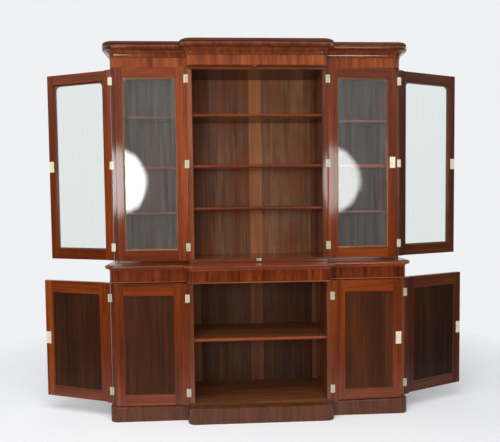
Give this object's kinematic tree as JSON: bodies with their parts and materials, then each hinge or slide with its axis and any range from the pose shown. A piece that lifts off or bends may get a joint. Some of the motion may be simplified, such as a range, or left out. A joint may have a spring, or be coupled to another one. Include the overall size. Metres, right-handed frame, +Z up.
{
  "type": "breakfront bookcase",
  "caption": "Two-stage breakfront library bookcase with glazed upper doors, panelled cupboard doors, fixed shelves, moulded cornice and plinth, shown with all doors folded open.",
  "frame": {"origin": "on the floor, on the plane of symmetry, in line with the front edges of the upper stage's centre bay; it lies on the underside of the plinth's middle bearer", "axes": "+Z up, +Y to the back, +X to the right as seen from the front"},
  "size_m": [2.7724, 0.449, 2.349],
  "materials": {
    "mahogany": "waxed, satin",
    "veneer": "polished, satin",
    "panel": "weathered inside face of a veneered panel",
    "back_boards": "dull stained softwood",
    "glass": "clear",
    "brass": "tarnished",
    "bolt_steel": "worn"
  },
  "bodies": {
    "carcase": {"plinth": "mahogany", "base_frieze": "veneer", "base_top": "mahogany", "cornice": "veneer", "base_bottom_board": "mahogany", "base_side_left": "mahogany", "base_partition_left": "mahogany", "base_side_right": "mahogany", "base_partition_right": "mahogany", "base_back": "back_boards", "base_left_shelf": "mahogany", "base_centre_shelf": "mahogany", "base_right_shelf": "mahogany", "upper_bottom_board": "mahogany", "upper_top_board": "mahogany", "upper_side_left": "mahogany", "upper_partition_left": "mahogany", "upper_side_right": "mahogany", "upper_partition_right": "mahogany", "upper_back": "back_boards", "upper_left_shelf_1": "mahogany", "upper_left_shelf_2": "mahogany", "upper_left_shelf_3": "mahogany", "upper_centre_shelf_1": "mahogany", "upper_centre_shelf_2": "mahogany", "upper_centre_shelf_3": "mahogany", "upper_right_shelf_1": "mahogany", "upper_right_shelf_2": "mahogany", "upper_right_shelf_3": "mahogany"},
    "upper_left_wing_door": {"upper_left_wing_door_frame": "mahogany", "upper_left_wing_glass": "glass", "upper_left_wing_lock": "brass"},
    "upper_left_wing_lock_bolt": {"upper_left_wing_lock_bolt": "bolt_steel"},
    "upper_left_centre_door": {"upper_left_centre_door_frame": "mahogany", "upper_left_centre_glass": "glass"},
    "upper_left_centre_top_flush_bolt": {"upper_left_centre_top_flush_bolt": "brass"},
    "upper_left_centre_foot_flush_bolt": {"upper_left_centre_foot_flush_bolt": "brass"},
    "upper_right_centre_door": {"upper_right_centre_door_frame": "mahogany", "upper_right_centre_glass": "glass", "upper_right_centre_lock": "brass"},
    "upper_right_centre_lock_bolt": {"upper_right_centre_lock_bolt": "bolt_steel"},
    "upper_right_wing_door": {"upper_right_wing_door_frame": "mahogany", "upper_right_wing_glass": "glass", "upper_right_wing_lock": "brass"},
    "upper_right_wing_lock_bolt": {"upper_right_wing_lock_bolt": "bolt_steel"},
    "base_left_wing_door": {"base_left_wing_door_frame": "mahogany", "base_left_wing_panel": "panel", "base_left_wing_lock": "brass"},
    "base_left_wing_lock_bolt": {"base_left_wing_lock_bolt": "bolt_steel"},
    "base_left_centre_door": {"base_left_centre_door_frame": "mahogany", "base_left_centre_panel": "panel"},
    "base_left_centre_top_flush_bolt": {"base_left_centre_top_flush_bolt": "brass"},
    "base_right_centre_door": {"base_right_centre_door_frame": "mahogany", "base_right_centre_panel": "panel", "base_right_centre_lock": "brass"},
    "base_right_centre_lock_bolt": {"base_right_centre_lock_bolt": "bolt_steel"},
    "base_right_wing_door": {"base_right_wing_door_frame": "mahogany", "base_right_wing_panel": "panel", "base_right_wing_lock": "brass"},
    "base_right_wing_lock_bolt": {"base_right_wing_lock_bolt": "bolt_steel"}
  },
  "joints": [
    {"name": "upper_left_wing_hinge", "type": "hinge", "parent": "carcase", "child": "upper_left_wing_door", "pos_m": [-0.926, 0.0695, 1.59275], "axis": [0, 0, -1], "range_deg": [-200, 0]},
    {"name": "upper_left_wing_lock_bolt_slide", "type": "slide", "parent": "upper_left_wing_door", "child": "upper_left_wing_lock_bolt", "axis": [-0.9397, 0.342, 0], "range_m": [0, 0.01]},
    {"name": "upper_left_centre_hinge", "type": "hinge", "parent": "carcase", "child": "upper_left_centre_door", "pos_m": [-0.4445, -0.0005, 1.59275], "axis": [0, 0, -1], "range_deg": [-181.5, 0]},
    {"name": "upper_left_centre_top_flush_bolt_slide", "type": "slide", "parent": "upper_left_centre_door", "child": "upper_left_centre_top_flush_bolt", "axis": [0, 0, 1], "range_m": [0, 0.012]},
    {"name": "upper_left_centre_foot_flush_bolt_slide", "type": "slide", "parent": "upper_left_centre_door", "child": "upper_left_centre_foot_flush_bolt", "axis": [0, 0, -1], "range_m": [0, 0.012]},
    {"name": "upper_right_centre_hinge", "type": "hinge", "parent": "carcase", "child": "upper_right_centre_door", "pos_m": [0.4445, -0.0005, 1.59275], "axis": [0, 0, 1], "range_deg": [-182.5, 0]},
    {"name": "upper_right_centre_lock_bolt_slide", "type": "slide", "parent": "upper_right_centre_door", "child": "upper_right_centre_lock_bolt", "axis": [0.999, 0.0436, 0], "range_m": [0, 0.01]},
    {"name": "upper_right_wing_hinge", "type": "hinge", "parent": "carcase", "child": "upper_right_wing_door", "pos_m": [0.926, 0.0695, 1.59275], "axis": [0, 0, 1], "range_deg": [-199.5, 0]},
    {"name": "upper_right_wing_lock_bolt_slide", "type": "slide", "parent": "upper_right_wing_door", "child": "upper_right_wing_lock_bolt", "axis": [0.9426, 0.3338, 0], "range_m": [0, 0.01]},
    {"name": "base_left_wing_hinge", "type": "hinge", "parent": "carcase", "child": "base_left_wing_door", "pos_m": [-0.9345, -0.0245, 0.48225], "axis": [0, 0, -1], "range_deg": [-199, 0]},
    {"name": "base_left_wing_lock_bolt_slide", "type": "slide", "parent": "base_left_wing_door", "child": "base_left_wing_lock_bolt", "axis": [-0.9455, 0.3256, 0], "range_m": [0, 0.01]},
    {"name": "base_left_centre_hinge", "type": "hinge", "parent": "carcase", "child": "base_left_centre_door", "pos_m": [-0.4485, -0.0955, 0.48225], "axis": [0, 0, -1], "range_deg": [-181.2, 0]},
    {"name": "base_left_centre_top_flush_bolt_slide", "type": "slide", "parent": "base_left_centre_door", "child": "base_left_centre_top_flush_bolt", "axis": [0, 0, 1], "range_m": [0, 0.012]},
    {"name": "base_right_centre_hinge", "type": "hinge", "parent": "carcase", "child": "base_right_centre_door", "pos_m": [0.4485, -0.0955, 0.48225], "axis": [0, 0, 1], "range_deg": [-182.5, 0]},
    {"name": "base_right_centre_lock_bolt_slide", "type": "slide", "parent": "base_right_centre_door", "child": "base_right_centre_lock_bolt", "axis": [0.999, 0.0436, 0], "range_m": [0, 0.01]},
    {"name": "base_right_wing_hinge", "type": "hinge", "parent": "carcase", "child": "base_right_wing_door", "pos_m": [0.9345, -0.0245, 0.48225], "axis": [0, 0, 1], "range_deg": [-201, 0]},
    {"name": "base_right_wing_lock_bolt_slide", "type": "slide", "parent": "base_right_wing_door", "child": "base_right_wing_lock_bolt", "axis": [0.9336, 0.3584, 0], "range_m": [0, 0.01]}
  ],
  "couplings": [
    {"joint": "upper_left_wing_hinge", "follows": "upper_left_centre_hinge", "ratio": 1.1019},
    {"joint": "upper_right_wing_hinge", "follows": "upper_right_centre_hinge", "ratio": 1.0932},
    {"joint": "base_left_wing_hinge", "follows": "base_left_centre_hinge", "ratio": 1.0982},
    {"joint": "base_right_wing_hinge", "follows": "base_right_centre_hinge", "ratio": 1.1014}
  ]
}
